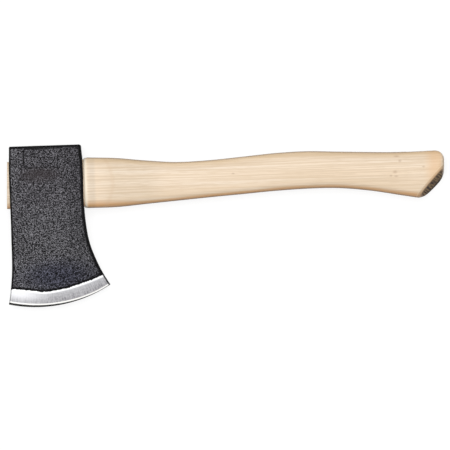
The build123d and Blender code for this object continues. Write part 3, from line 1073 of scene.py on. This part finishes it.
def sawn_color(shader):
    """Dark streaks across the butt's cut, partly end grain and partly painted shade, darker still on
    its far side, and a paler tongue's end.
    """
    cosine, sine = math.cos(STREAK_SLANT), math.sin(STREAK_SLANT)
    along = shader.add(shader.times(shader.x, cosine), shader.times(shader.y, sine))
    across = shader.less(shader.times(shader.y, cosine), shader.times(shader.x, sine))
    streaks = shader.flat_noise(shader.math("DIVIDE", along, 7.0), shader.math("DIVIDE", across, 1.1))
    butt = shader.blend(shader.spread(streaks, 0.4, 0.6), rgb(52, 32, 14), rgb(170, 140, 100))
    # Painted shade: near black on the cut's far side, which faces away from the light
    butt = shader.blend(shader.spread(shader.z, -3.2, -6.2), butt, rgb(30, 18, 8))
    stub = shader.blend(shader.spread(streaks, 0.35, 0.65), rgb(176, 136, 92), rgb(216, 184, 144))
    return shader.blend(shader.spread(shader.x, 100.0, 101.0), stub, butt)


def saw_rim(shader, color, end_grain):
    """Adds painted shade on a rim that browns towards the cut, near black on its far side, and a
    painted highlight as a pale line first.
    """
    over_rim = shader.attribute("saw_rim")
    rim = shader.times(shader.spread(over_rim, 0.1, 1.0, 0.0, 0.95), shader.less(1.0, end_grain))
    near = shader.blend(shader.spread(over_rim, 0.62, 0.85), rgb(214, 178, 134), rgb(132, 94, 56))
    rim_color = shader.blend(shader.spread(shader.z, 4.0, 0.5), near, rgb(48, 30, 14))
    color = shader.blend(rim, color, rim_color)
    # Painted highlight: a pale line where the rim starts to turn
    pale = shader.spread(shader.away(over_rim, 0.12), 0.0, 0.14, 0.5, 0.0)
    pale = shader.times(pale, shader.spread(shader.z, 0.0, 3.0))
    return shader.blend(pale, color, rgb(255, 238, 205))


def handle_material():
    """Pale varnished ash, with painted shade in orange-brown along its lower side, and a dark sawn
    butt.
    """
    shader = Shader("varnished_ash", Coat_Weight=0.1, Coat_Roughness=0.2, Specular_IOR_Level=0.15)
    color, relief = wood_color(shader, rgb(247, 229, 208), rgb(242, 220, 194), rgb(222, 197, 167))
    for paint in (lower_side_shade, upper_edge_shade, near_eye, flecked):
        color = paint(shader, color)
    # Painted shade: warmer and darker over the nose's round-over towards the butt
    nose = shader.times(
        shader.ease(shader.x, 305.0, 316.0, 0.0, 0.6), shader.ease(shader.x, 320.0, 322.0, 1.0, 0.3)
    )
    color = shader.blend(nose, color, rgb(234, 190, 142))
    end_grain = shader.attribute("end_grain")
    color = shader.blend(end_grain, color, sawn_color(shader))
    color = saw_rim(shader, color, end_grain)
    return shader.finish(color, shader.spread(end_grain, 0.0, 1.0, 0.46, 0.85), relief, 0.10)


def wedge_wood_material():
    """Bare wood of the wedge, a little browner than the handle."""
    shader = Shader("bare_wedge_wood", Specular_IOR_Level=0.3)
    color, relief = wood_color(shader, rgb(214, 176, 128), rgb(196, 156, 108), rgb(150, 110, 70))
    return shader.finish(color, 0.7, relief, 0.15)


def wedge_steel_material():
    """Plain grey steel of the wedges, struck and a little stained."""
    shader = Shader("struck_steel", Specular_IOR_Level=0.5)
    stains = shader.noise(2.4, detail=4.0, roughness=0.7)
    color = shader.blend(shader.spread(stains, 0.35, 0.7), rgb(150, 150, 152), rgb(96, 90, 86))
    dents = shader.noise(0.8, seed=6.0)
    return shader.finish(color, shader.spread(stains, 0.3, 0.7, 0.32, 0.55), dents, 0.08, 0.85)


def give(piece, material):
    """One material over the whole piece."""
    piece.data.materials.clear()
    piece.data.materials.append(material)


def cover(node, material):
    """A better material in every slot of a CAD node."""
    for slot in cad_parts[node].material_slots:
        slot.material = material


# Stage: floor, lights and camera


def seen_plainly(tree):
    """1 for camera, glossy and transmission rays, and 0 for the rays that light the object."""
    path = new_node(tree, "ShaderNodeLightPath", {})
    total = path.outputs["Is Camera Ray"]
    for name in ("Is Glossy Ray", "Is Transmission Ray"):
        inputs = {0: total, 1: path.outputs[name]}
        total = new_node(tree, "ShaderNodeMath", inputs, operation="MAXIMUM").outputs[0]
    return total


def make_floor():
    """A white floor that keeps a faint shadow and throws little light back."""
    mesh = bpy.data.meshes.new("floor")
    corners = [(x * FLOOR_HALF, y * FLOOR_HALF, 0) for x, y in ((-1, -1), (1, -1), (1, 1), (-1, 1))]
    mesh.from_pydata(corners, [], [(0, 1, 2, 3)])
    floor = link("floor", mesh)
    material = bpy.data.materials.new("white_floor")
    material.use_nodes = True
    tree = material.node_tree
    tree.nodes.clear()
    dull = new_node(tree, "ShaderNodeBsdfDiffuse", {"Color": (FLOOR_LIT,) * 3 + (1,)})
    white = new_node(tree, "ShaderNodeBsdfDiffuse", {"Color": (FLOOR_SEEN,) * 3 + (1,)})
    lift = new_node(tree, "ShaderNodeEmission", {"Strength": FLOOR_LIFT})
    both = new_node(tree, "ShaderNodeAddShader", {0: white.outputs[0], 1: lift.outputs[0]})
    inputs = {0: seen_plainly(tree), 1: dull.outputs[0], 2: both.outputs[0]}
    choice = new_node(tree, "ShaderNodeMixShader", inputs)
    new_node(tree, "ShaderNodeOutputMaterial", {"Surface": choice.outputs[0]})
    mesh.materials.append(material)


def make_world():
    """White to the eye, and a soft sky that is dim at the horizon for lighting."""
    world = bpy.data.worlds.new("studio")
    bpy.context.scene.world = world
    world.use_nodes = True
    tree = world.node_tree
    direction = new_node(tree, "ShaderNodeTexCoord", {}).outputs["Generated"]
    parts = new_node(tree, "ShaderNodeSeparateXYZ", {0: direction})
    inputs = {0: parts.outputs["Z"], 1: 0.0, 2: 1.0, 3: SKY_LOW, 4: SKY_HIGH}
    sky = new_node(tree, "ShaderNodeMapRange", inputs, interpolation_type="SMOOTHSTEP")
    strength = new_node(tree, "ShaderNodeMix", {0: seen_plainly(tree), 2: sky.outputs[0], 3: 1.0})
    background = tree.nodes["Background"]
    plug(tree, (1, 1, 1, 1), background.inputs["Color"])
    plug(tree, strength.outputs[0], background.inputs["Strength"])


def make_lamp():
    """One large soft lamp that points at the object's middle."""
    data = bpy.data.lights.new("soft_lamp", "AREA")
    data.shape = "DISK"
    data.size = LAMP_SIZE
    data.energy = LAMP_POWER
    lamp = link("soft_lamp", data)
    lamp.location = LAMP_PLACE
    lamp.rotation_euler = (-Vector(LAMP_PLACE)).to_track_quat("-Z", "Y").to_euler()


def make_camera():
    data = bpy.data.cameras.new("camera")
    data.sensor_width = SENSOR
    data.lens = SENSOR * CAMERA_DISTANCE / VIEW_WIDTH
    data.clip_end = 20.0
    camera = link("camera", data)
    camera.location = EYE + Vector((*VIEW_CENTER, CAMERA_DISTANCE)) * MM
    camera.rotation_euler = (0, 0, VIEW_TURN)
    bpy.context.scene.camera = camera


# The object

make_camera()

forged_head = make_head()
carve(forged_head, [eye_cutter()])
shade(forged_head)
give(forged_head, steel_material())
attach(forged_head, "root")
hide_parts("head")

curved_handle = make_handle()
carve(curved_handle, wedge_cutters())
shade(curved_handle)
give(curved_handle, handle_material())
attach(curved_handle, "root")
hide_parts("handle")

cover("wooden_wedge", wedge_wood_material())
wedge_steel = wedge_steel_material()
cover("steel_wedge_upper", wedge_steel)
cover("steel_wedge_lower", wedge_steel)

make_floor()
make_world()
make_lamp()

bpy.context.scene.view_settings.view_transform = "Standard"
